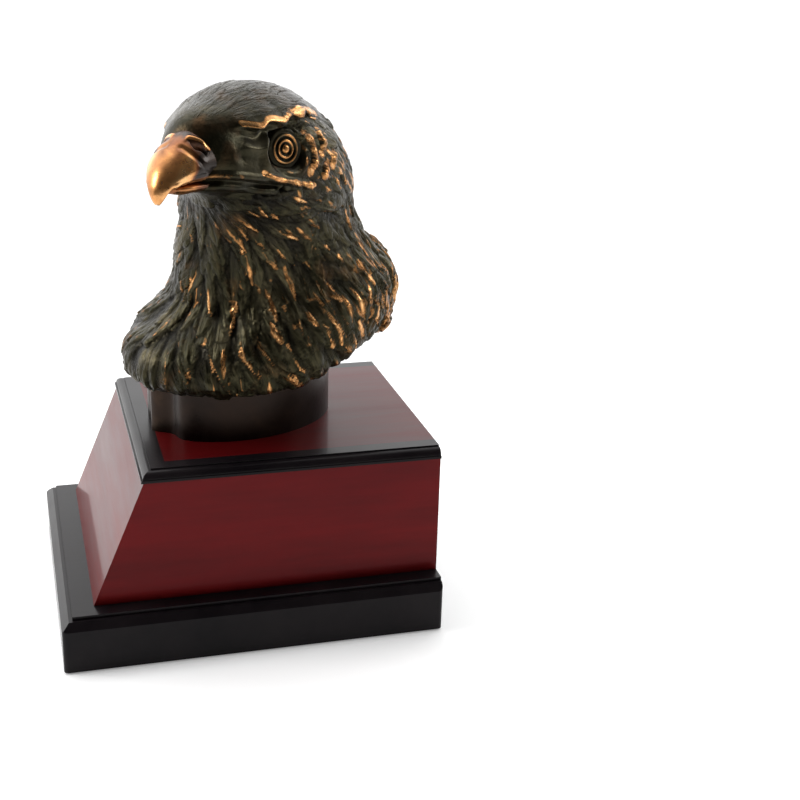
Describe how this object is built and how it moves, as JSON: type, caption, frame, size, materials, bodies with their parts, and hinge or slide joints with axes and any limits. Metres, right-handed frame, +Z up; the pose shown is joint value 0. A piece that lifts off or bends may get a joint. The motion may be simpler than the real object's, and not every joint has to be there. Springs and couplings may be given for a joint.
{
  "type": "eagle head bookend",
  "caption": "Free-standing bookend: a hollow cast eagle head on a lobed foot, fixed to a lacquered wooden box with a moulded top edge and a plinth.",
  "frame": {"origin": "centre of the underside, on the surface the bookend stands on", "axes": "+Z up; +X out of the flat side that the books lean on; -X towards the sloping side; -Y towards the front"},
  "size_m": [0.127, 0.112, 0.1808],
  "materials": {
    "felt": "short-pile pressed felt",
    "black_lacquer": "gloss black lacquer on wood",
    "mahogany_lacquer": "gloss red mahogany lacquer on wood",
    "raw_wood": "unfinished softwood",
    "zinc_steel": "zinc plated steel",
    "ballast_iron": "rough grey cast iron",
    "dark_bronze": "dark brown patina, smooth",
    "antique_bronze": "dark green-brown patina, rubbed to copper on the raised edges"
  },
  "bodies": {
    "root": {"felt_pad": "felt", "plinth_board": "black_lacquer", "plinth_screws": "zinc_steel", "corner_blocks": "raw_wood", "ballast_block": "ballast_iron", "ballast_screws": "zinc_steel", "front_panel": "mahogany_lacquer", "book_side_panel": "black_lacquer", "rear_panel": "mahogany_lacquer", "slope_panel": "mahogany_lacquer", "top_panel": "mahogany_lacquer", "front_moulding": "black_lacquer", "slope_moulding": "black_lacquer", "rear_moulding": "black_lacquer", "mounting_washers": "zinc_steel", "mounting_screws": "zinc_steel", "foot_collar": "dark_bronze", "eagle_casting": "antique_bronze"}
  },
  "joints": []
}
